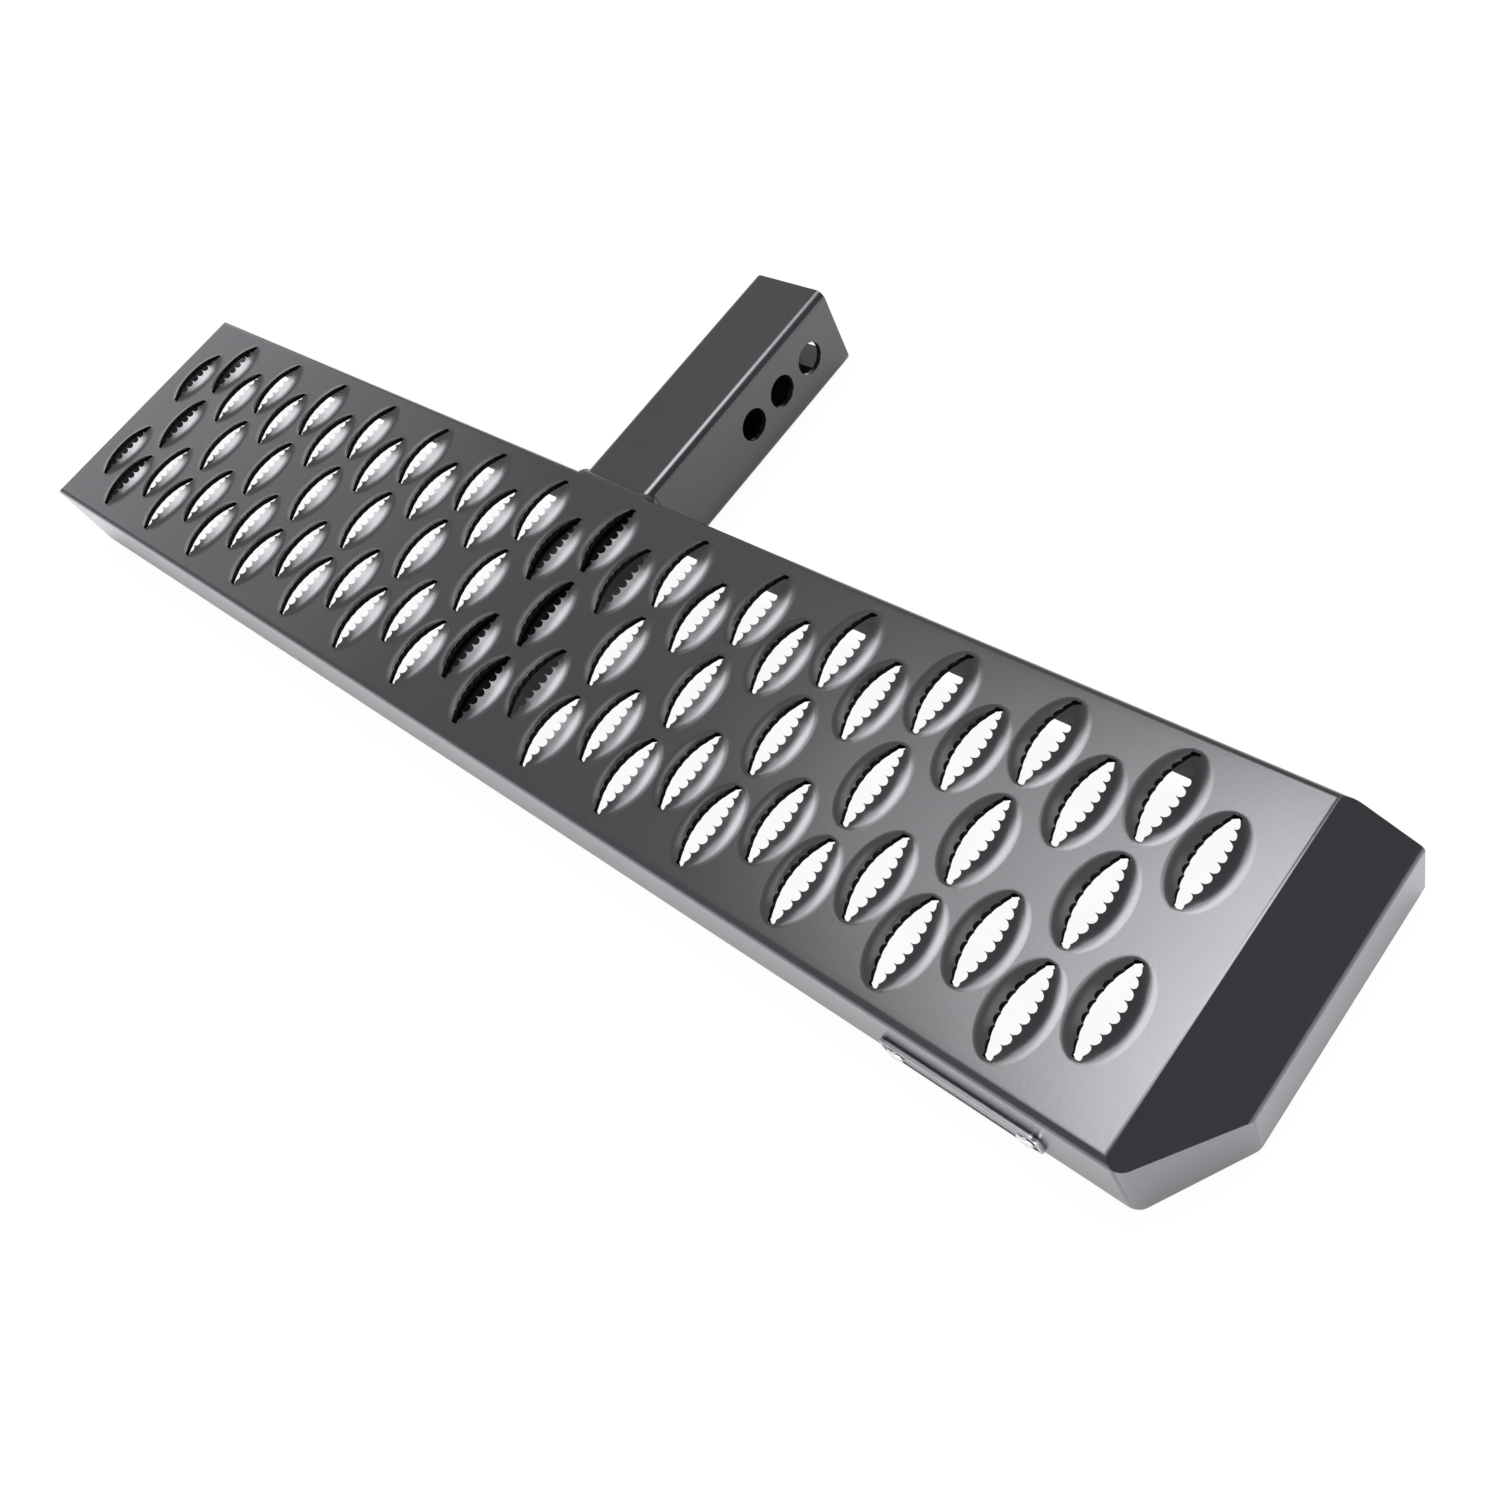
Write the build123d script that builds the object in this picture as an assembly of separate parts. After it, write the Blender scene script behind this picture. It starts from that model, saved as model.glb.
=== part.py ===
"""Hitch receiver step: a folded, perforated steel deck welded over a square hitch tube.

Millimetres, +Z up. The origin is the centre of the tube's open end, which goes into the receiver.
+X runs along the deck, and +Y points out of the tube, towards the vehicle.
"""
import os
from math import asin, cos, radians, sin, sqrt, tan

from build123d import *

# Hitch tube: a square tube for a two inch receiver, with a row of cross holes for the hitch pin
tube_size = 50.8
tube_wall = 3.2
tube_corner_radius = 5.0
tube_reach = 154.4
pin_holes = 3
pin_hole_diameter = 18.0
pin_hole_spacing = 25.4
pin_hole_to_end = 25.4

# Deck: one sheet, folded down all round, with sloped ends and cut front corners
deck_length = 863.6
deck_width = 162.0
sheet = 2.5
front_depth = 50.0
rear_depth = 41.0
end_run = 29.8
end_drop = 18.0
corner_start = 6.0
corner_cut = 43.0
corner_radius = 7.0
bend_radius = 4.0

# Grip eyes: lens-shaped holes with a raised, toothed lip, in columns of two and of three
column_pitch = 26.8
end_margin = 26.0
edge_to_outer_row = 30.9
eye_length = 47.0
eye_width = 23.5
opening_length = 41.8
opening_width = 12.0
lip_angle = 30.0
tooth_depth = 1.8
teeth_per_side = 5

# Weld between the deck's rear flange and the tube
weld_leg = 5.0
weld_below_top = 0.5

# Plain plate riveted to the front flange
plate_length = 76.0
plate_height = 16.0
plate_corner_radius = 4.0
plate_thickness = 2.4
plate_to_end_bend = 69.0
plate_below_top = 36.0
rivet_inset = 7.0
rivet_shank_diameter = 4.0
rivet_head_diameter = 8.0
rivet_head_height = 1.4

# Places that follow from the sizes above, and the square section that deck, tube and weld share
rear_face = -tube_reach
front_face = rear_face - deck_width
deck_middle = (rear_face + front_face) / 2
deck_top = tube_size / 2 + sheet
skirt_bottom = deck_top - front_depth
rear_bottom = deck_top - rear_depth
half_length = deck_length / 2
half_top = half_length - end_run
rear_plane = Plane.XZ.offset(-rear_face)
front_plane = Plane.XZ.offset(-front_face)
tube_outline = RectangleRounded(tube_size, tube_size, tube_corner_radius)

# Deck blank: the side view drawn across the deck, bends rounded, then front corners cut in plan
side_view = make_face(Polyline(
    (-half_length, skirt_bottom),
    (half_length, skirt_bottom),
    (half_length, deck_top - end_drop),
    (half_top, deck_top),
    (-half_top, deck_top),
    (-half_length, deck_top - end_drop),
    close=True,
))
blank = extrude(rear_plane * side_view, amount=deck_width)
long_bends = blank.edges().filter_by(Axis.X).group_by(Axis.Z)[-1]
bottom_edges, skirt_bends, top_bends = blank.edges().filter_by(Axis.Y).group_by(Axis.Z)
blank = fillet(long_bends + skirt_bends + top_bends, bend_radius)
plan = make_face(Polyline(
    (-half_top - corner_start, front_face),
    (half_top + corner_start, front_face),
    (half_length, front_face + corner_cut),
    (half_length, rear_face + bend_radius),
    (-half_length, rear_face + bend_radius),
    (-half_length, front_face + corner_cut),
    close=True,
))
plan = fillet(plan.vertices().sort_by(Axis.Y)[:4], corner_radius)
blank &= extrude(plan, amount=front_depth + deck_top, both=True)


def lens_arc(length, width):
    """Radius of a lens's two arcs, and how far their centres lie beyond its long axis."""
    radius = (length ** 2 + width ** 2) / (4 * width)
    return radius, radius - width / 2


foot_radius, foot_centre = lens_arc(eye_length, eye_width)
foot_half_angle = asin(eye_length / 2 / foot_radius)


def lens_point(length, width, share):
    """Where a fold of the lip crosses a lens's arc; share runs from -1 to 1 along the arc."""
    if abs(share) == 1:
        return 0, share * length / 2
    radius, centre = lens_arc(length, width)
    angle = share * foot_half_angle
    apart = centre - foot_centre
    along = apart * cos(angle)
    reach = sqrt(along ** 2 - apart ** 2 + radius ** 2) - along
    return reach * cos(angle) - foot_centre, reach * sin(angle)


def two_sided(right_side):
    """A closed face from one side of a lens and the same side turned half round."""
    return make_face(Polyline(*right_side, *[(-x, -y) for x, y in right_side[1:-1]], close=True))


folds = [2 * i / teeth_per_side - 1 for i in range(teeth_per_side + 1)]
foot = two_sided([lens_point(eye_length, eye_width, share) for share in folds])

cusp_width = opening_width - 2 * tooth_depth
toothed_side = []
for share in folds[:-1]:
    toothed_side.append(lens_point(opening_length, opening_width, share))
    toothed_side.append(lens_point(opening_length, cusp_width, share + 1 / teeth_per_side))
toothed_side.append(lens_point(opening_length, opening_width, 1))
opening = two_sided(toothed_side)

# The lip rises from the foot at one slope, and the hollow under it leaves the sheet's thickness
slope = tan(radians(lip_angle))
lip_rise = (eye_width - cusp_width) / 2 * slope
hollow_inset = sheet * tan(radians(lip_angle) / 2)
hollow_foot = offset(foot, -hollow_inset, kind=Kind.INTERSECTION)
hollow_rise = lip_rise - hollow_inset * slope
lip = extrude(foot, amount=lip_rise, taper=90 - lip_angle)
hollow = Pos(0, 0, -sheet) * extrude(hollow_foot, amount=hollow_rise, taper=90 - lip_angle)
hollow += Pos(0, 0, -sheet) * extrude(opening, amount=2 * sheet + lip_rise)

outer_row = deck_width / 2 - edge_to_outer_row
row_sets = [(-outer_row * 2 / 3, outer_row * 2 / 3), (-outer_row, 0, outer_row)]
side_columns = int((half_top - end_margin) / column_pitch)
eye_places = [
    Pos(column * column_pitch, deck_middle + row, deck_top)
    for column in range(-side_columns, side_columns + 1)
    for row in row_sets[column % 2]
]

# Deck: the blank's shell, with a shallower rear flange, a notch for the tube, eyes and rivet holes
plate_move = Pos(half_top - plate_to_end_bend, 0, deck_top - plate_below_top)
rivet_moves = [plate_move * Pos(i * (plate_length / 2 - rivet_inset), 0, 0) for i in (-1, 1)]
shank = extrude(
    front_plane.offset(-sheet) * Circle(rivet_shank_diameter / 2),
    amount=sheet + plate_thickness,
)
rear_trim = Box(deck_length - 2 * sheet, 2 * sheet, rear_bottom - skirt_bottom)
step_deck = offset(blank, -sheet, openings=blank.faces().sort_by(Axis.Z)[0])
step_deck -= Pos(0, rear_face, (skirt_bottom + rear_bottom) / 2) * rear_trim
step_deck -= extrude(rear_plane * tube_outline, amount=bend_radius)
step_deck += [place * lip for place in eye_places]
step_deck -= [place * hollow for place in eye_places]
step_deck -= [move * shank for move in rivet_moves]

# Tube, from the front bend out to its open end
tube_solid = extrude(Plane.XZ * tube_outline, amount=tube_reach + deck_width - bend_radius)
tube_hollow = extrude(Plane.XZ * offset(tube_outline, -tube_wall), amount=tube_reach + deck_width)
pin_hole = Rot(0, 90, 0) * Cylinder(pin_hole_diameter / 2, 2 * tube_size)
hitch_tube = tube_solid - tube_hollow
hitch_tube -= [Pos(0, -pin_hole_to_end - i * pin_hole_spacing, 0) * pin_hole for i in range(pin_holes)]

# Weld: a bead round the tube, from the rear flange's edge up to just under the deck's top
bead_outline = offset(tube_outline, weld_leg)
bead_height = rear_depth - weld_below_top
bead_reach = Box(2 * tube_size, 2 * deck_width, bead_height)
tube_weld = extrude(rear_plane * bead_outline, amount=sheet)
tube_weld += mirror(extrude(rear_plane * bead_outline, amount=weld_leg, taper=45), rear_plane)
tube_weld &= Pos(0, rear_face, rear_bottom + bead_height / 2) * bead_reach
tube_weld = tube_weld - tube_solid - step_deck

# Plate and its two rivets, drawn at the middle of the front flange and moved along to their place
plate_blank = RectangleRounded(plate_length, plate_height, plate_corner_radius)
nameplate = plate_move * extrude(front_plane * plate_blank, amount=plate_thickness)
nameplate -= [move * shank for move in rivet_moves]
head_radius = rivet_head_diameter / 2
dome_radius = (head_radius ** 2 + rivet_head_height ** 2) / (2 * rivet_head_height)
dome = Pos(0, front_face - plate_thickness - rivet_head_height + dome_radius, 0) * Sphere(dome_radius)
head = split(dome, bisect_by=front_plane.offset(plate_thickness), keep=Keep.TOP)
nameplate_rivets = Compound([move * (head + shank) for move in rivet_moves])

os.makedirs("parts", exist_ok=True)
export_step(step_deck, "parts/step_deck.step")
export_step(hitch_tube, "parts/hitch_tube.step")
export_step(tube_weld, "parts/tube_weld.step")
export_step(nameplate, "parts/nameplate.step")
export_step(nameplate_rivets, "parts/nameplate_rivets.step")
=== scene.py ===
from math import asin, cos, pi, radians, sin, sqrt

import bmesh
import bpy
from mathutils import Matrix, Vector


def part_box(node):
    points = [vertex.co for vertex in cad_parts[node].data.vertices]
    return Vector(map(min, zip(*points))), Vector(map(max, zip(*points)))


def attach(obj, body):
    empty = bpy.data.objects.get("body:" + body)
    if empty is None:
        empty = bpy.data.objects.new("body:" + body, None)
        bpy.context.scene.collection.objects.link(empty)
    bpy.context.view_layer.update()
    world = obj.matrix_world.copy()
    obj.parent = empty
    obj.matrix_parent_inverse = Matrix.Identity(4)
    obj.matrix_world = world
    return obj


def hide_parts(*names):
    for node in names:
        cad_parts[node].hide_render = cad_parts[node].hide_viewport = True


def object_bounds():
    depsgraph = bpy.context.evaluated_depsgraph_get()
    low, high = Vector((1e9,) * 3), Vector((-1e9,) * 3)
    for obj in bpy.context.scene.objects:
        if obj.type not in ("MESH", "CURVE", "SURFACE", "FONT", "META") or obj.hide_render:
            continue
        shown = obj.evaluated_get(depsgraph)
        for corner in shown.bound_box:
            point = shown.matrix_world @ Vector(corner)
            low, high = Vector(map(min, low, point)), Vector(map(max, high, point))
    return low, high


# Settings of pieces and finishes are in millimetres and degrees, those of the floor and lamps in metres
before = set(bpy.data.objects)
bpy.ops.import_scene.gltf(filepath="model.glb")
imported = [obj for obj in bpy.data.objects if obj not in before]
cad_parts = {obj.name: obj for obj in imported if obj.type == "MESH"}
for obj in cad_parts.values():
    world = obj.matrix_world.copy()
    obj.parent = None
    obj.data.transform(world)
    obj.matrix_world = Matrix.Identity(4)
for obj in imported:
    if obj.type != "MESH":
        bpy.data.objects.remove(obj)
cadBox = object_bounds()
mm = 0.001
near = 0.01 * mm  # places closer than this count as the same
print("frame:", ", ".join(sorted(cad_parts)))


# Small helpers

skin = dict(merge=0.002, flatAngle=1.0, sharpAngle=25.0, crispAngle=38.0, roundFaces=2, roundProfile=0.5)
mixFirst, mixSecond, mixResult = 6, 7, 2  # a Mix node's colour sockets


def linearColour(hexCode):  # sRGB hex to the linear colour that a socket takes
    channels = [int(hexCode[i:i + 2], 16) / 255 for i in (1, 3, 5)]
    return [c / 12.92 if c <= 0.04045 else ((c + 0.055) / 1.055) ** 2.4 for c in channels] + [1]


# Settings that start with a small letter are the node's own, the others are its sockets'
def addNode(tree, kind, settings={}, links={}):
    node = tree.nodes.new(kind)
    for name, value in settings.items():
        if isinstance(name, str) and name[0].islower():
            setattr(node, name, value)
        else:
            node.inputs[name].default_value = value
    for name, source in links.items():
        tree.links.new(source, node.inputs[name])
    return node


def newMaterial(name):
    material = bpy.data.materials.new(name)
    material.use_nodes = True
    material.node_tree.nodes.clear()
    return material, material.node_tree


def newPiece(name, mesh, *materials):
    piece = bpy.data.objects.new(name, mesh)
    bpy.context.scene.collection.objects.link(piece)
    for material in materials:
        mesh.materials.append(material)
    return piece


def finishPiece(piece, node):  # smooth faces, crisp edges, and its place in the frame
    piece.data.polygons.foreach_set("use_smooth", [True] * len(piece.data.polygons))
    piece.data.set_sharp_from_angle(angle=radians(skin["crispAngle"]))
    flats = piece.modifiers.new("flatFaces", "WEIGHTED_NORMAL")
    flats.keep_sharp = True
    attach(piece, "root")
    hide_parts(node)
    print(piece.name, "faces:", len(piece.data.polygons))


def toMesh(bm, name):
    bmesh.ops.recalc_face_normals(bm, faces=bm.faces)
    openEdges = sum(not e.is_manifold for e in bm.edges)
    mesh = bpy.data.meshes.new(name)
    bm.to_mesh(mesh)
    bm.free()
    print(name, "open edges:", openEdges)
    return mesh


def joinedSkin(node):  # a copy of a node's loose triangles, joined into one skin
    bm = bmesh.new()
    bm.from_mesh(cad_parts[node].data)
    bmesh.ops.remove_doubles(bm, verts=bm.verts, dist=skin["merge"] * mm)
    return bm


def roundEdges(bm, width, keepOut=lambda edge: False):  # makes flat faces whole, then rounds sharp edges
    bmesh.ops.dissolve_limit(bm, angle_limit=radians(skin["flatAngle"]), verts=bm.verts, edges=bm.edges)
    sharpAngle = radians(skin["sharpAngle"])
    sharp = [e for e in bm.edges if e.is_manifold and e.calc_face_angle() > sharpAngle and not keepOut(e)]
    bmesh.ops.bevel(bm, geom=sharp, offset=width, offset_type="OFFSET", segments=skin["roundFaces"],
                    profile=skin["roundProfile"], affect="EDGES", clamp_overlap=True)


# A closed strip between two rings, where the second has as many points as the first or a multiple
def stitch(bm, few, many):
    step = len(many) // len(few)
    for i, point in enumerate(few):
        nextPoint = few[(i + 1) % len(few)]
        run = [many[(i * step + k) % len(many)] for k in range(step + 1)]
        if step == 1:
            bm.faces.new((point, nextPoint, run[1], run[0]))
            continue
        middle = (step + 1) // 2
        for k in range(step):
            bm.faces.new((point if k < middle else nextPoint, run[k + 1], run[k]))
        bm.faces.new((point, nextPoint, run[middle]))


# Coats of the deck, tube and weld

powderCoat = dict(
    black="#17181a", worn="#1c1d1f", roughness=0.22, spread=0.03, specular=1.0,
    peelSize=1.6, peelDepth=0.010, grainSize=0.45, grainDepth=0.004, cloudSize=60.0,
)


# Polyester powder baked on steel: black, with a satin sheen that faint orange peel blurs.
# Real grain is finer, and is drawn this coarse so that it shows.
def satinPowderCoat():
    material, tree = newMaterial("satinBlackPowderCoat")
    place = addNode(tree, "ShaderNodeTexCoord").outputs["Object"]
    cloud = addNode(tree, "ShaderNodeTexNoise",
                    {"Scale": 1 / (powderCoat["cloudSize"] * mm), "Detail": 3}, {"Vector": place})
    peel = addNode(tree, "ShaderNodeTexNoise",
                   {"Scale": 1 / (powderCoat["peelSize"] * mm), "Detail": 1}, {"Vector": place})
    grain = addNode(tree, "ShaderNodeTexNoise",
                    {"Scale": 1 / (powderCoat["grainSize"] * mm), "Detail": 2}, {"Vector": place})
    colour = addNode(tree, "ShaderNodeMix",
                     {"data_type": "RGBA", mixFirst: linearColour(powderCoat["black"]),
                      mixSecond: linearColour(powderCoat["worn"])},
                     {0: cloud.outputs["Fac"]})
    gloss = addNode(tree, "ShaderNodeMapRange",
                    {"To Min": powderCoat["roughness"] - powderCoat["spread"],
                     "To Max": powderCoat["roughness"] + powderCoat["spread"]},
                    {"Value": cloud.outputs["Fac"]})
    peelBump = addNode(tree, "ShaderNodeBump",
                       {"Strength": 1.0, "Distance": powderCoat["peelDepth"] * mm},
                       {"Height": peel.outputs["Fac"]})
    grainBump = addNode(tree, "ShaderNodeBump",
                        {"Strength": 1.0, "Distance": powderCoat["grainDepth"] * mm},
                        {"Height": grain.outputs["Fac"], "Normal": peelBump.outputs["Normal"]})
    satin = addNode(tree, "ShaderNodeBsdfPrincipled", {"Specular IOR Level": powderCoat["specular"]},
                    {"Base Color": colour.outputs[mixResult], "Roughness": gloss.outputs["Result"],
                     "Normal": grainBump.outputs["Normal"]})
    addNode(tree, "ShaderNodeOutputMaterial", {}, {"Surface": satin.outputs["BSDF"]})
    return material


paintedShade = dict(black="#0e0e0e", roughness=0.8, specular=0.05)


# A near-black, dull coat that is painted shade: it stands in for the shade on the eyes' sheared walls,
# deep inside the tube and on the tube's upper corners under the deck, and mirrors almost nothing there
def paintedShadeCoat():
    material, tree = newMaterial("paintedShadeDull")
    shadeFinish = addNode(tree, "ShaderNodeBsdfPrincipled",
                   {"Base Color": linearColour(paintedShade["black"]), "Roughness": paintedShade["roughness"],
                    "Specular IOR Level": paintedShade["specular"]})
    addNode(tree, "ShaderNodeOutputMaterial", {}, {"Surface": shadeFinish.outputs["BSDF"]})
    return material


coat = satinPowderCoat()
shadeCoat = paintedShadeCoat()
print("coats made")


# Grip eyes: one punched eye, then the pattern of columns of two and of three

eye = dict(
    columnPitch=26.8, pairGap=66.8, tripleGap=50.1, pairColumns=15, tripleColumns=14,
    footLength=46.0, footWidth=28.2, collar=0.2, collarEvery=2, underEvery=3,
    openingLength=43.0, openingWidth=13.0, tipWidth=4.2, tipSquareness=0.5, toothedShare=0.92,
    teeth=8, toothDepth=2.5, toothFade=0.35, toothFaces=6, tipFaces=6, undercut=(0.35, 0.5),
    rootRise=2.7, lipRise=4.05, tipRise=0.2, ridgePower=2.6, bendShare=0.8, flankFaces=6, flankEnd=0.96,
    wall=2.4, underBend=0.3, underFoot=0.08,
)
sheet = 2.5  # the deck's steel, which lies on the tube
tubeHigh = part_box("hitch_tube")[1]
deckLow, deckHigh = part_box("step_deck")
deckUnder = tubeHigh.z
deckTop = deckUnder + sheet * mm
deckMiddle = (deckLow.y + deckHigh.y) / 2


# Stations round the opening: angle on the foot's ellipse, root of the tooth, tooth depth, share of it cut
def eyeStations():
    half, ends, tip = eye["openingLength"] / 2, eye["toothedShare"], eye["tipWidth"] / 2
    side = []
    for tooth in range(eye["teeth"]):
        for k in range(eye["toothFaces"]):
            across = sin((k / eye["toothFaces"] - 0.5) * pi)  # from point to point over one scallop
            share = ends * ((2 * tooth + 1 + across) / eye["teeth"] - 1)
            bow = 1 - (share / ends) ** 2
            root = tip + (eye["openingWidth"] / 2 - tip) * bow
            depth = eye["toothDepth"] * bow ** eye["toothFade"]
            side.append((asin(share), Vector((root, half * share)), depth, 1 - sqrt(1 - across ** 2)))
    for k in range(eye["tipFaces"]):
        turn = k / eye["tipFaces"] * pi
        spread = asin(ends) + (pi / 2 - asin(ends)) * sin(turn)
        outX = abs(cos(turn)) ** eye["tipSquareness"] * (1 if turn < pi / 2 else -1)
        outY = sin(turn) ** eye["tipSquareness"]
        rim = Vector((tip * outX, half * (ends + (1 - ends) * outY)))
        side.append((spread if turn <= pi / 2 else pi - spread, rim, 0, 0))
    return side + [(angle + pi, -root, depth, cut) for angle, root, depth, cut in side]


def eyeMesh():  # rings from the deck's top up the lip, down its sheared edge and out under the deck
    bm = bmesh.new()
    bend, end = eye["bendShare"], eye["flankEnd"]
    names = ("collar", "foot", "root", "point", "cut", "underRoot", "underBend", "underFoot")
    rings = {name: [] for name in names}
    flank = [[] for k in range(1, eye["flankFaces"])]

    def rise(share):  # a rounded foot, then a straight flank
        return (share ** 2 / (2 * bend) if share < bend else share - bend / 2) / (1 - bend / 2)

    for angle, root, depth, cut in eyeStations():
        foot = Vector((eye["footWidth"] / 2 * cos(angle), eye["footLength"] / 2 * sin(angle)))
        collar = foot + foot.normalized() * eye["collar"]
        ridge = 1 - abs(sin(angle)) ** eye["ridgePower"]
        height = eye["tipRise"] + (eye["rootRise"] - eye["tipRise"]) * ridge
        point = root + Vector((-depth if cos(angle) > 0 else depth, 0))
        edge = root.lerp(point, cut)
        lip = height + (eye["lipRise"] - eye["rootRise"]) * cut * depth / eye["toothDepth"]
        least, most = eye["undercut"]
        below = root.lerp(point, least + (most - least) * cut)

        def onFlank(share, drop=0.0):
            plan = foot.lerp(root, share)
            return (plan.x * mm, plan.y * mm, (height * rise(share) - drop) * mm)

        rings["collar"].append((collar.x * mm, collar.y * mm, 0))
        rings["foot"].append(onFlank(0))
        for k, ring in enumerate(flank, 1):
            ring.append(onFlank(end * k / eye["flankFaces"]))
        rings["root"].append(onFlank(end))
        rings["point"].append((edge.x * mm, edge.y * mm, lip * mm))
        rings["cut"].append((below.x * mm, below.y * mm, (height - eye["wall"]) * mm))
        rings["underRoot"].append(onFlank(end, sheet))
        rings["underBend"].append(onFlank(eye["underBend"], sheet))
        rings["underFoot"].append(onFlank(eye["underFoot"])[:2] + (-sheet * mm,))

    def verts(ring, every=1):
        return [bm.verts.new(p) for p in ring[::every]]

    top = [verts(ring) for ring in (rings["foot"], *flank, rings["root"], rings["point"], rings["cut"])]
    stitch(bm, verts(rings["collar"], eye["collarEvery"]), top[0])
    for outer, inner in zip(top, top[1:]):
        stitch(bm, outer, inner)
    under = [verts(rings[n], eye["underEvery"]) for n in ("underRoot", "underBend", "underFoot")]
    stitch(bm, under[0], top[-1])
    for outer, inner in zip(under, under[1:]):
        stitch(bm, outer, inner)
    sheared = bm.faces.layers.int.new("sheared")
    wallPoints = {*top[-2], *top[-1], *under[0]}
    for face in bm.faces:
        face[sheared] = all(v in wallPoints for v in face.verts)
    bmesh.ops.recalc_face_normals(bm, faces=bm.faces)
    mesh = bpy.data.meshes.new("gripEye")
    bm.to_mesh(mesh)
    bm.free()
    return mesh


def modifierFor(piece, tree, values):  # sets each named input by its socket's identifier
    modifier = piece.modifiers.new(tree.name, "NODES")
    modifier.node_group = tree
    for item in tree.interface.items_tree:
        if item.in_out == "INPUT" and item.name in values:
            modifier[item.identifier] = values[item.name]


def bakedMesh(piece):  # what the modifiers make, as a plain mesh
    bpy.context.view_layer.update()
    evaluated = piece.evaluated_get(bpy.context.evaluated_depsgraph_get())
    return bpy.data.meshes.new_from_object(evaluated)


def newTree(name, inputs):
    tree = bpy.data.node_groups.new(name, "GeometryNodeTree")
    for label, kind in inputs.items():
        tree.interface.new_socket(label, in_out="INPUT", socket_type="NodeSocket" + kind)
    tree.interface.new_socket("Geometry", in_out="OUTPUT", socket_type="NodeSocketGeometry")
    return tree, addNode(tree, "NodeGroupInput").outputs


def eyePattern():  # two grids of eyes, each column of three between two columns of two
    tree, given = newTree("gripEyePattern", {
        "Eye": "Object", "Coat": "Material", "Shade Coat": "Material", "Middle": "Vector",
        "Column Step": "Float", "Pair Gap": "Float", "Triple Gap": "Float",
        "Pair Columns": "Int", "Triple Columns": "Int",
    })
    fields = []
    for label, rows in (("Pair", 2), ("Triple", 3)):
        columns, gap = given[label + " Columns"], given[label + " Gap"]
        steps = addNode(tree, "ShaderNodeMath", {"operation": "SUBTRACT", 1: 1}, {0: columns})
        sizeX = addNode(tree, "ShaderNodeMath", {"operation": "MULTIPLY"},
                        {0: steps.outputs[0], 1: given["Column Step"]})
        sizeY = addNode(tree, "ShaderNodeMath", {"operation": "MULTIPLY", 1: rows - 1}, {0: gap})
        grid = addNode(tree, "GeometryNodeMeshGrid", {"Vertices Y": rows},
                       {"Size X": sizeX.outputs[0], "Size Y": sizeY.outputs[0], "Vertices X": columns})
        fields.append(grid.outputs["Mesh"])
    both = addNode(tree, "GeometryNodeJoinGeometry")
    for field in fields:
        tree.links.new(field, both.inputs[0])
    placed = addNode(tree, "GeometryNodeTransform", {},
                     {"Geometry": both.outputs[0], "Translation": given["Middle"]})
    source = addNode(tree, "GeometryNodeObjectInfo", {"As Instance": True}, {"Object": given["Eye"]})
    eyes = addNode(tree, "GeometryNodeInstanceOnPoints", {},
                   {"Points": placed.outputs[0], "Instance": source.outputs["Geometry"]})
    real = addNode(tree, "GeometryNodeRealizeInstances", {}, {"Geometry": eyes.outputs[0]})
    coated = addNode(tree, "GeometryNodeSetMaterial", {},
                     {"Geometry": real.outputs[0], "Material": given["Coat"]})
    # The sheared walls of the openings get the near-black dull coat: painted shade inside the openings
    sheared = addNode(tree, "GeometryNodeInputNamedAttribute", {"data_type": "INT", "Name": "sheared"})
    dulled = addNode(tree, "GeometryNodeSetMaterial", {},
                     {"Geometry": coated.outputs[0], "Selection": sheared.outputs["Attribute"],
                      "Material": given["Shade Coat"]})
    addNode(tree, "NodeGroupOutput", {}, {0: dulled.outputs[0]})
    return tree


def allEyes():
    punch = newPiece("gripEyeSource", eyeMesh(), coat, shadeCoat)
    carrier = newPiece("gripEyeCarrier", bpy.data.meshes.new("gripEyeCarrier"))
    modifierFor(carrier, eyePattern(), {
        "Eye": punch, "Coat": coat, "Shade Coat": shadeCoat, "Middle": (0, deckMiddle, deckTop),
        "Column Step": 2 * eye["columnPitch"] * mm, "Pair Gap": eye["pairGap"] * mm,
        "Triple Gap": eye["tripleGap"] * mm, "Pair Columns": eye["pairColumns"],
        "Triple Columns": eye["tripleColumns"],
    })
    mesh = bakedMesh(carrier)
    bpy.data.objects.remove(carrier)
    bpy.data.objects.remove(punch)
    print("grip eyes, faces:", len(mesh.polygons))
    return mesh


# Deck: the folded skin without its flat field, the eyes, and the field filled in between them

deck = dict(edgeRound=0.8)


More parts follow.
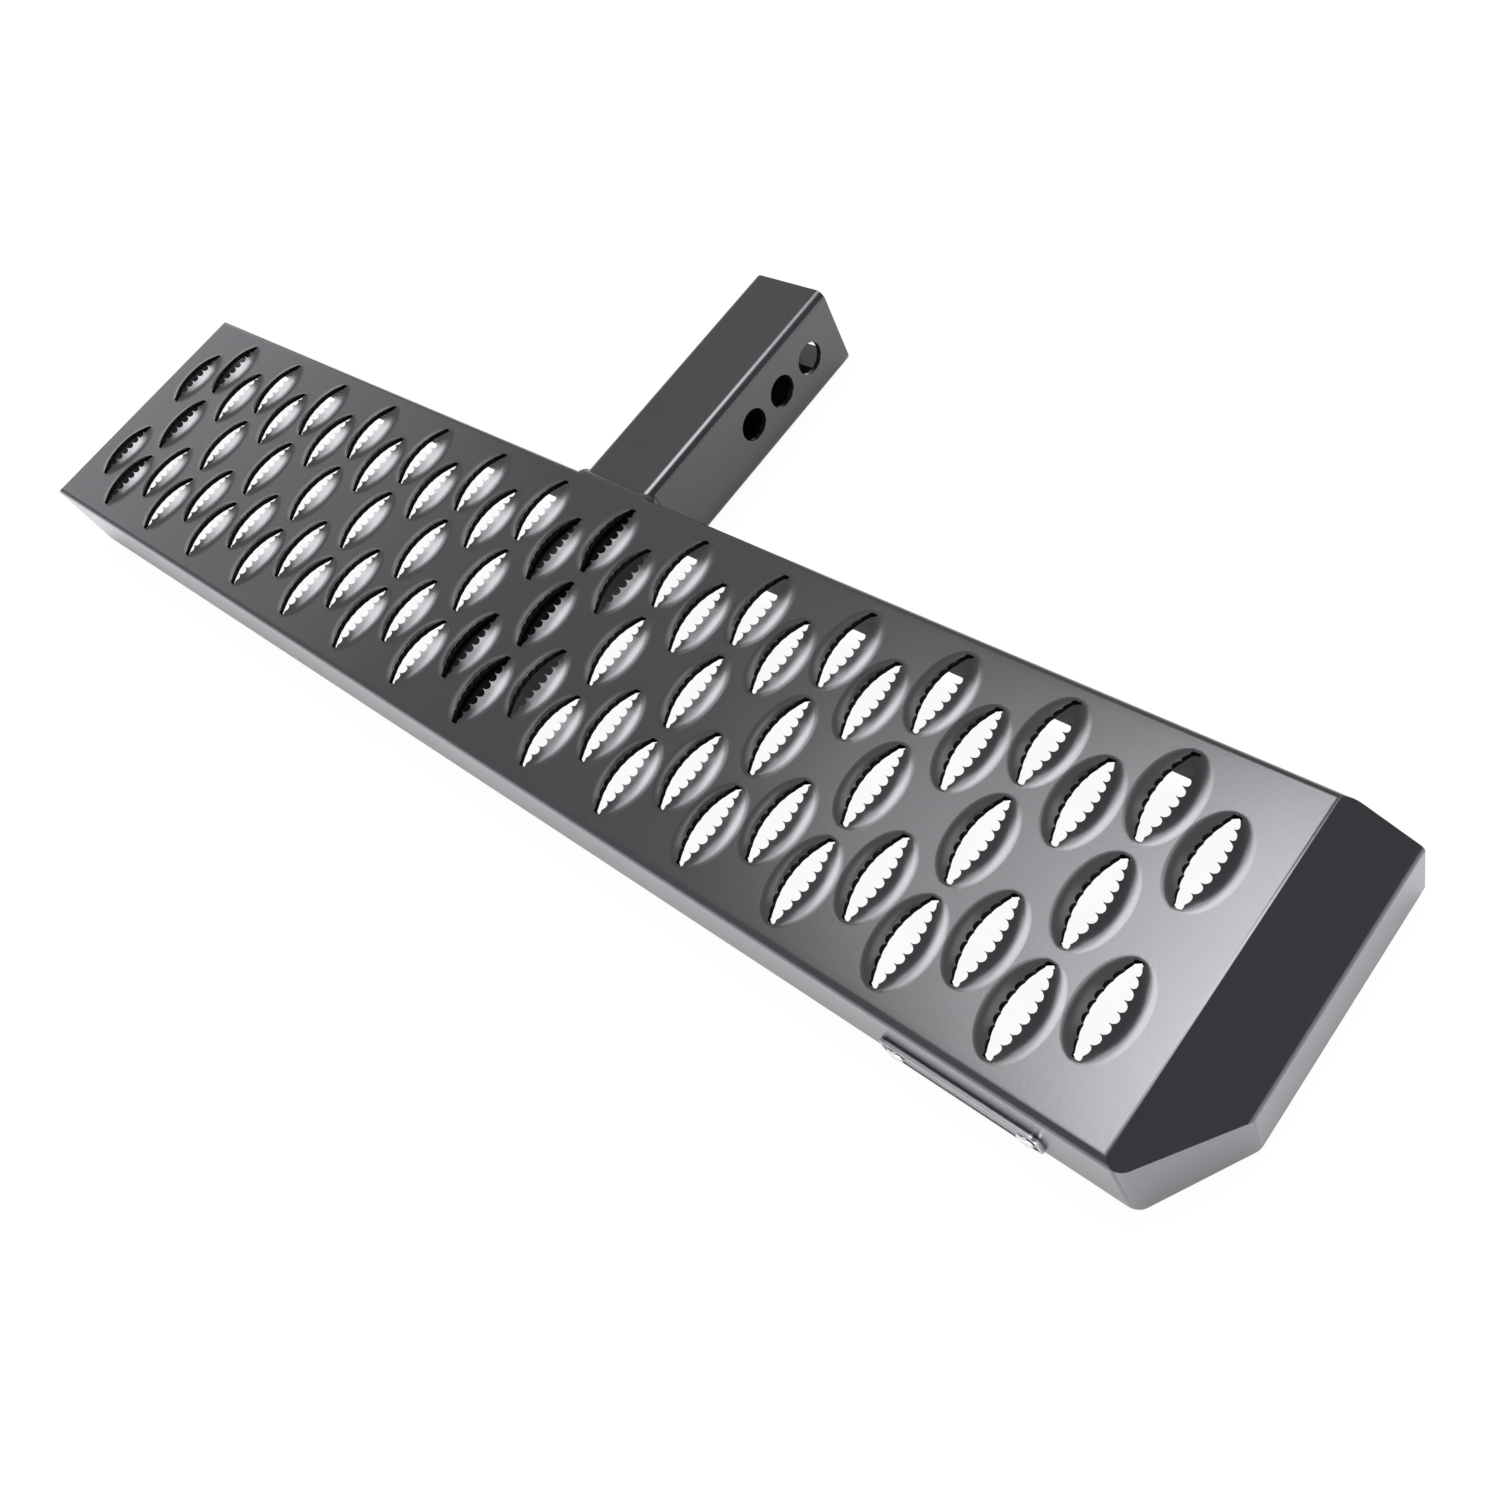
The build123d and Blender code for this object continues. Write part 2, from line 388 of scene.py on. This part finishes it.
def stepDeck():
    bm = joinedSkin("step_deck")
    flat = [v.co for v in bm.verts if abs(v.co.z - deckTop) < near]
    fieldX = max(p.x for p in flat) + near
    fieldLow = min(p.y for p in flat) - near
    fieldHigh = max(p.y for p in flat) + near

    def inField(v):
        return abs(v.co.x) < fieldX and fieldLow < v.co.y < fieldHigh and v.co.z > deckUnder - near

    field = [f for f in bm.faces if all(inField(v) for v in f.verts)]
    bmesh.ops.delete(bm, geom=field, context="FACES")
    roundEdges(bm, deck["edgeRound"] * mm, lambda e: any(inField(v) for v in e.verts))
    eyes = allEyes()
    bm.from_mesh(eyes)
    bpy.data.meshes.remove(eyes)
    for level, facing in ((deckTop, 1), (deckUnder, -1)):
        rim = [e for e in bm.edges if e.is_boundary and all(abs(v.co.z - level) < near for v in e.verts)]
        bmesh.ops.triangle_fill(bm, edges=rim, use_beauty=True, normal=(0, 0, facing))
    piece = newPiece("stepDeckCoated", toMesh(bm, "stepDeckCoated"), coat, shadeCoat)
    finishPiece(piece, "step_deck")


stepDeck()


# Hitch tube: coated outside and in its mouth; deeper inside and on its upper corners under the deck it
# gets the dull near-black coat, painted shade that also takes away the corners' highlight

tube = dict(edgeRound=0.5, wall=3.2, mouth=15.0, cornerTilt=0.05)


def hitchTube():
    bm = joinedSkin("hitch_tube")
    roundEdges(bm, tube["edgeRound"] * mm)
    inside = tubeHigh.x - tube["wall"] * mm + near
    mouth, flange = tubeHigh.y - tube["mouth"] * mm, deckHigh.y
    for level in (mouth, flange):
        everything = [*bm.verts, *bm.edges, *bm.faces]
        bmesh.ops.bisect_plane(bm, geom=everything, plane_co=(0, level, 0), plane_no=(0, 1, 0))
    bm.normal_update()
    for face in bm.faces:
        middle = face.calc_center_median()
        tilt = min(abs(face.normal.x), abs(face.normal.z))
        hollow = middle.y < mouth and all(max(abs(v.co.x), abs(v.co.z)) < inside for v in face.verts)
        corner = middle.y < flange and middle.z > 0 and tilt > tube["cornerTilt"]
        # hollow and corner faces get the painted-shade coat
        face.material_index = int(hollow or corner)
    piece = newPiece("hitchTubeCoated", toMesh(bm, "hitchTubeCoated"), coat, shadeCoat)
    finishPiece(piece, "hitch_tube")


hitchTube()


# Weld bead round the tube, at the deck's rear flange

weld = dict(
    sideLeg=5.0, topLeg=2.3, cornerRadius=5.0, bendRadius=4.0, ripple=3.0, rippleDepth=0.07,
    fullness=1.5, arcFaces=8, step=0.5, sink=0.4,
)


def weldPath():  # points on the tube's outline with outward normals, up the left side, over, and down
    half, radius = tubeHigh.x / mm, weld["cornerRadius"]
    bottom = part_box("tube_weld")[0].z / mm
    runs = []
    rising = half - radius - bottom
    for k in range(int(rising / weld["step"])):
        runs.append((Vector((-half, bottom + k * weld["step"])), Vector((-1, 0))))
    turns = int(radius * pi / 2 / weld["step"])
    for k in range(turns):
        out = Vector((-cos(k / turns * pi / 2), sin(k / turns * pi / 2)))
        runs.append((Vector((-half + radius, half - radius)) + out * radius, out))
    for k in range(int((half - radius) / weld["step"]) + 1):
        runs.append((Vector((-half + radius + k * weld["step"], half)), Vector((0, 1))))
    return runs + [(Vector((-p.x, p.y)), Vector((-n.x, n.y))) for p, n in reversed(runs)]


def tubeWeld():
    bm = bmesh.new()
    rear = deckHigh.y / mm
    bendMiddle = deckTop / mm - weld["bendRadius"]

    def flangeAt(z):  # the deck's outside: flat below its rear bend, then round
        over = min(max(z - bendMiddle, 0), weld["bendRadius"])
        return rear - weld["bendRadius"] + sqrt(weld["bendRadius"] ** 2 - over ** 2)

    sections = []
    travelled, last = 0.0, None
    for point, out in weldPath():
        travelled += (point - last).length if last else 0
        last = point
        leg = weld["sideLeg"] + (weld["topLeg"] - weld["sideLeg"]) * max(out.y, 0) ** 2
        leg *= 1 + weld["rippleDepth"] * abs(sin(pi * travelled / weld["ripple"]))
        section = []
        for k in range(weld["arcFaces"] + 1):
            turn = k / weld["arcFaces"] * pi / 2
            power = weld["fullness"]
            reach = leg / (cos(turn) ** power + sin(turn) ** power) ** (1 / power)
            at = point + out * reach * sin(turn)
            section.append((at.x, flangeAt(at.y) + reach * cos(turn), at.y))
        inner = point - out * weld["sink"]
        top = section[-1]
        section.append((top[0], top[1] - weld["sink"], top[2]))
        section.append((inner.x, flangeAt(inner.y) - weld["sink"], inner.y))
        section.append((inner.x, section[0][1], inner.y))
        sections.append([bm.verts.new(Vector(p) * mm) for p in section])
    for one, two in zip(sections, sections[1:]):
        stitch(bm, one, two)
    bm.faces.new(sections[0])
    bm.faces.new(sections[-1])
    piece = newPiece("tubeWeldCoated", toMesh(bm, "tubeWeldCoated"), coat)
    finishPiece(piece, "tube_weld")


tubeWeld()


# Plain plate on the front flange: a raised bare rim round a sunk black field

plate = dict(
    cornerRadius=4.0, base=0.8, rim=1.6, sunk=0.3, fieldRun=0.3, edge=0.5, edgeKnee=0.15, cornerFaces=8,
    fieldColour="#141415", fieldRoughness=0.2, fieldSpecular=1.0, mottleSize=2.0, mottleDepth=0.008,
    rimColour="#acadaf", rimRoughness=0.3, rimSpread=0.1, brush=0.25, brushStretch=0.05,
    dentSize=1.5, dentDepth=0.05,
)


# Black enamel that flowed into the plate's field: glossy, with a slight wave in what it mirrors
def plateEnamel():
    material, tree = newMaterial("blackPlateEnamel")
    place = addNode(tree, "ShaderNodeTexCoord").outputs["Object"]
    flow = addNode(tree, "ShaderNodeTexNoise",
                   {"Scale": 1 / (plate["mottleSize"] * mm), "Detail": 2}, {"Vector": place})
    bump = addNode(tree, "ShaderNodeBump",
                   {"Strength": 1.0, "Distance": plate["mottleDepth"] * mm},
                   {"Height": flow.outputs["Fac"]})
    enamel = addNode(tree, "ShaderNodeBsdfPrincipled",
                     {"Base Color": linearColour(plate["fieldColour"]),
                      "Roughness": plate["fieldRoughness"],
                      "Specular IOR Level": plate["fieldSpecular"]},
                     {"Normal": bump.outputs["Normal"]})
    addNode(tree, "ShaderNodeOutputMaterial", {}, {"Surface": enamel.outputs["BSDF"]})
    return material


# Bare aluminium, brushed along the plate: bright, with streaks and small dents that break its glint
def brushedRim():
    material, tree = newMaterial("brushedAluminiumRim")
    place = addNode(tree, "ShaderNodeTexCoord").outputs["Object"]
    along = addNode(tree, "ShaderNodeMapping",
                    {"Scale": (plate["brushStretch"], 1, 1)}, {"Vector": place})
    lines = addNode(tree, "ShaderNodeTexNoise",
                    {"Scale": 1 / (plate["brush"] * mm), "Detail": 2},
                    {"Vector": along.outputs["Vector"]})
    gloss = addNode(tree, "ShaderNodeMapRange",
                    {"To Min": plate["rimRoughness"] - plate["rimSpread"],
                     "To Max": plate["rimRoughness"] + plate["rimSpread"]},
                    {"Value": lines.outputs["Fac"]})
    dents = addNode(tree, "ShaderNodeTexNoise",
                    {"Scale": 1 / (plate["dentSize"] * mm), "Detail": 2}, {"Vector": place})
    bump = addNode(tree, "ShaderNodeBump",
                   {"Strength": 1.0, "Distance": plate["dentDepth"] * mm},
                   {"Height": dents.outputs["Fac"]})
    metal = addNode(tree, "ShaderNodeBsdfPrincipled",
                    {"Base Color": linearColour(plate["rimColour"]), "Metallic": 1.0},
                    {"Roughness": gloss.outputs["Result"], "Normal": bump.outputs["Normal"]})
    addNode(tree, "ShaderNodeOutputMaterial", {}, {"Surface": metal.outputs["BSDF"]})
    return material


def roundedRing(halfLong, halfHigh, radius):  # points of a rounded rectangle, in the flange's plane
    ring = []
    for quarter, (sideX, sideZ) in enumerate(((1, 1), (-1, 1), (-1, -1), (1, -1))):
        for k in range(plate["cornerFaces"] + 1):
            turn = (quarter + k / plate["cornerFaces"]) * pi / 2
            x = sideX * (halfLong - radius) + radius * cos(turn)
            z = sideZ * (halfHigh - radius) + radius * sin(turn)
            ring.append((x, z))
    return ring


def namePlate():
    low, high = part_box("nameplate")
    middle, size = (low + high) / 2, (high - low) / mm
    halfLong, halfHigh, thick = size.x / 2, size.z / 2, size.y
    bm = bmesh.new()
    steps = (  # inset from the outline, height over the flange
        (0, 0), (0, plate["base"]), (0, thick - plate["edge"]),
        (plate["edgeKnee"], thick - plate["edgeKnee"]), (plate["edge"], thick),
        (plate["rim"], thick), (plate["rim"] + plate["fieldRun"], thick - plate["sunk"]),
    )
    rings = []
    for inset, height in steps:
        ring = roundedRing(halfLong - inset, halfHigh - inset, plate["cornerRadius"] - inset)
        y = high.y - height * mm
        rings.append([bm.verts.new((middle.x + x * mm, y, middle.z + z * mm)) for x, z in ring])
    for one, two in zip(rings, rings[1:]):
        stitch(bm, one, two)
    bm.faces.new(rings[-1])
    bm.faces.new(rings[0])
    # The base band against the flange and the sunk field are black enamel; the black base band partly
    # paints in the shade of the seam behind the plate
    bare = {v for ring in rings[1:-1] for v in ring}
    for face in bm.faces:
        face.material_index = int(not all(v in bare for v in face.verts))
    piece = newPiece("namePlateBare", toMesh(bm, "namePlateBare"), brushedRim(), plateEnamel())
    finishPiece(piece, "nameplate")


namePlate()


# Rivets: a domed head repeated at both ends of the plate

rivet = dict(
    headDiameter=8.0, headHeight=1.4, lip=0.25, shankDiameter=4.4, shankLength=4.9, rings=8, segments=32,
    steel="#d8d6d0", brightest=0.12, dullest=0.3, markSize=0.6,
)


# Stainless steel, pressed bright when the head was set: a sharp glint with duller marks in it
def polishedRivetSteel():
    material, tree = newMaterial("polishedStainlessSteel")
    place = addNode(tree, "ShaderNodeTexCoord").outputs["Object"]
    marks = addNode(tree, "ShaderNodeTexNoise",
                    {"Scale": 1 / (rivet["markSize"] * mm), "Detail": 3}, {"Vector": place})
    gloss = addNode(tree, "ShaderNodeMapRange",
                    {"To Min": rivet["brightest"], "To Max": rivet["dullest"]},
                    {"Value": marks.outputs["Fac"]})
    metal = addNode(tree, "ShaderNodeBsdfPrincipled",
                    {"Base Color": linearColour(rivet["steel"]), "Metallic": 1.0},
                    {"Roughness": gloss.outputs["Result"]})
    addNode(tree, "ShaderNodeOutputMaterial", {}, {"Surface": metal.outputs["BSDF"]})
    return material


def rivetHead():
    bm = bmesh.new()
    radius, height, shank = rivet["headDiameter"] / 2, rivet["headHeight"], rivet["shankDiameter"] / 2
    profile = [(shank, -rivet["shankLength"]), (shank, 0.0), (radius, 0.0), (radius, rivet["lip"])]
    for k in range(1, rivet["rings"]):
        turn = k / rivet["rings"] * pi / 2
        profile.append((radius * cos(turn), rivet["lip"] + (height - rivet["lip"]) * sin(turn)))
    rings = []
    for r, y in profile:
        turns = [k / rivet["segments"] * 2 * pi for k in range(rivet["segments"])]
        rings.append([bm.verts.new((r * cos(t) * mm, -y * mm, r * sin(t) * mm)) for t in turns])
    for one, two in zip(rings, rings[1:]):
        stitch(bm, one, two)
    bm.faces.new(rings[0])
    bm.faces.new(rings[-1])
    return toMesh(bm, "rivetHead")


def rivetPair():
    tree, given = newTree("rivetPair", {
        "Rivet": "Object", "Metal": "Material", "First": "Vector", "Step": "Vector",
    })
    line = addNode(tree, "GeometryNodeMeshLine", {"mode": "OFFSET", "Count": 2},
                   {"Start Location": given["First"], "Offset": given["Step"]})
    source = addNode(tree, "GeometryNodeObjectInfo", {"As Instance": True}, {"Object": given["Rivet"]})
    heads = addNode(tree, "GeometryNodeInstanceOnPoints", {},
                    {"Points": line.outputs[0], "Instance": source.outputs["Geometry"]})
    real = addNode(tree, "GeometryNodeRealizeInstances", {}, {"Geometry": heads.outputs[0]})
    bright = addNode(tree, "GeometryNodeSetMaterial", {},
                     {"Geometry": real.outputs[0], "Material": given["Metal"]})
    addNode(tree, "NodeGroupOutput", {}, {0: bright.outputs[0]})
    return tree


def plateRivets():
    low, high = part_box("nameplate_rivets")
    head = rivet["headDiameter"] / 2 * mm
    first = Vector((low.x + head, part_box("nameplate")[0].y, (low.z + high.z) / 2))
    metal = polishedRivetSteel()
    source = newPiece("rivetSource", rivetHead(), metal)
    carrier = newPiece("rivetCarrier", bpy.data.meshes.new("rivetCarrier"))
    modifierFor(carrier, rivetPair(), {
        "Rivet": source, "Metal": metal, "First": first, "Step": (high.x - low.x - 2 * head, 0, 0),
    })
    piece = newPiece("plateRivetsBright", bakedMesh(carrier))
    bpy.data.objects.remove(carrier)
    bpy.data.objects.remove(source)
    finishPiece(piece, "nameplate_rivets")


plateRivets()


# Floor, light and camera

stage = dict(
    floorSize=12.0, floor="#f8f8f8", seenWhite=0.94, mirroredWhite=0.12,
    leftWall=0.55, rightWall=0.25, wallBlend=0.5, ceiling=0.25, tint="#fafbff",
)


# White paper: mostly plain white to the camera, partly white where it is mirrored, and it keeps the shadow
def whiteFloor():
    mesh = bpy.data.meshes.new("floor")
    half, level = stage["floorSize"] / 2, cadBox[0].z
    corners = [(-half, -half, level), (half, -half, level), (half, half, level), (-half, half, level)]
    mesh.from_pydata(corners, [], [(0, 1, 2, 3)])
    material, tree = newMaterial("whitePaperFloor")
    paper = addNode(tree, "ShaderNodeBsdfDiffuse", {"Color": linearColour(stage["floor"])})
    path = addNode(tree, "ShaderNodeLightPath")
    seen = addNode(tree, "ShaderNodeMath", {"operation": "MAXIMUM"},
                   {0: path.outputs["Is Camera Ray"], 1: path.outputs["Is Transmission Ray"]})
    mirrored = addNode(tree, "ShaderNodeMath", {"operation": "MULTIPLY", 1: stage["mirroredWhite"]},
                       {0: path.outputs["Is Glossy Ray"]})
    share = addNode(tree, "ShaderNodeMath", {"operation": "MULTIPLY_ADD", 1: stage["seenWhite"]},
                    {0: seen.outputs[0], 2: mirrored.outputs[0]})
    white = addNode(tree, "ShaderNodeEmission", {"Strength": 1.0})
    surface = addNode(tree, "ShaderNodeMixShader", {},
                      {0: share.outputs[0], 1: paper.outputs[0], 2: white.outputs[0]})
    addNode(tree, "ShaderNodeOutputMaterial", {}, {"Surface": surface.outputs[0]})
    newPiece("floor", mesh, material)


def room():  # plain grey walls, lighter on the left, with some more light for matt surfaces
    world = bpy.data.worlds.new("greyRoom")
    bpy.context.scene.world = world
    world.use_nodes = True
    tree = world.node_tree
    tree.nodes.clear()
    place = addNode(tree, "ShaderNodeTexCoord").outputs["Generated"]
    along = addNode(tree, "ShaderNodeSeparateXYZ", {}, {0: place})
    walls = addNode(tree, "ShaderNodeMapRange",
                    {"From Min": -stage["wallBlend"], "From Max": stage["wallBlend"],
                     "To Min": stage["leftWall"], "To Max": stage["rightWall"]},
                    {"Value": along.outputs["X"]})
    path = addNode(tree, "ShaderNodeLightPath")
    level = addNode(tree, "ShaderNodeMath", {"operation": "MULTIPLY_ADD", 1: stage["ceiling"]},
                    {0: path.outputs["Is Diffuse Ray"], 2: walls.outputs[0]})
    grey = addNode(tree, "ShaderNodeBackground", {"Color": linearColour(stage["tint"])},
                   {"Strength": level.outputs[0]})
    addNode(tree, "ShaderNodeOutputWorld", {}, {"Surface": grey.outputs[0]})


# The overhead boxes make one large soft light that the deck and the eyes' flanks mirror
lamps = dict(
    overheadCore=dict(
        shape="RECTANGLE", place=(-0.5, 1.35, 8.0), aim=(-0.5, -0.2, 0), size=(3.3, 6.2), power=250),
    overheadBox=dict(
        shape="ELLIPSE", place=(-0.8, 1.9, 8.1), aim=(-0.8, -0.2, 0), size=(4.6, 4.4), power=122),
    overheadRim=dict(
        shape="ELLIPSE", place=(-1.7, 2.15, 8.2), aim=(-1.7, -0.2, 0), size=(7.2, 3.0), power=150),
    overheadRight=dict(
        shape="RECTANGLE", place=(1.95, 1.35, 8.0), aim=(1.95, -0.2, 0), size=(1.6, 6.2), power=115),
    leftCard=dict(
        shape="RECTANGLE", place=(-0.95, -0.14, 0.2), aim=(0, -0.14, 0.2), size=(0.5, 0.44), power=0.23),
    leftTallCard=dict(
        shape="RECTANGLE", place=(-0.97, -0.12, 0.35), aim=(0, -0.12, 0.35), size=(0.6, 0.74), power=0.6),
    frontFill=dict(
        shape="RECTANGLE", place=(1.9, -2.1, 0.4), aim=(0.2, -0.3, 0), size=(3.0, 0.7), power=110),
)


def softbox(name, shape, place, aim, size, power):
    light = bpy.data.lights.new(name, "AREA")
    light.shape = shape
    light.size, light.size_y = size
    light.energy = power
    light.color = linearColour(stage["tint"])[:3]
    lamp = bpy.data.objects.new(name, light)
    lamp.visible_camera = False
    lamp.location = place
    lamp.rotation_euler = (Vector(aim) - Vector(place)).to_track_quat("-Z", "Y").to_euler()
    bpy.context.scene.collection.objects.link(lamp)


view = dict(
    place=(545.77, -391.04, 516.90), turn=(33.4116, 21.0190, 40.0294), lens=34.491, sensor=36.0,
    nearest=20.0, farthest=50000.0,
)


def photoCamera():
    lens = bpy.data.cameras.new("photoCamera")
    lens.lens, lens.sensor_width = view["lens"], view["sensor"]
    lens.clip_start, lens.clip_end = view["nearest"] * mm, view["farthest"] * mm
    camera = bpy.data.objects.new("photoCamera", lens)
    camera.location = Vector(view["place"]) * mm
    camera.rotation_euler = [radians(a) for a in view["turn"]]
    bpy.context.scene.collection.objects.link(camera)
    bpy.context.scene.camera = camera


whiteFloor()
room()
for name, settings in lamps.items():
    softbox(name, **settings)
photoCamera()
bpy.context.scene.view_settings.view_transform = "Standard"
print("floor, lamps and camera set")

print("scene ready")
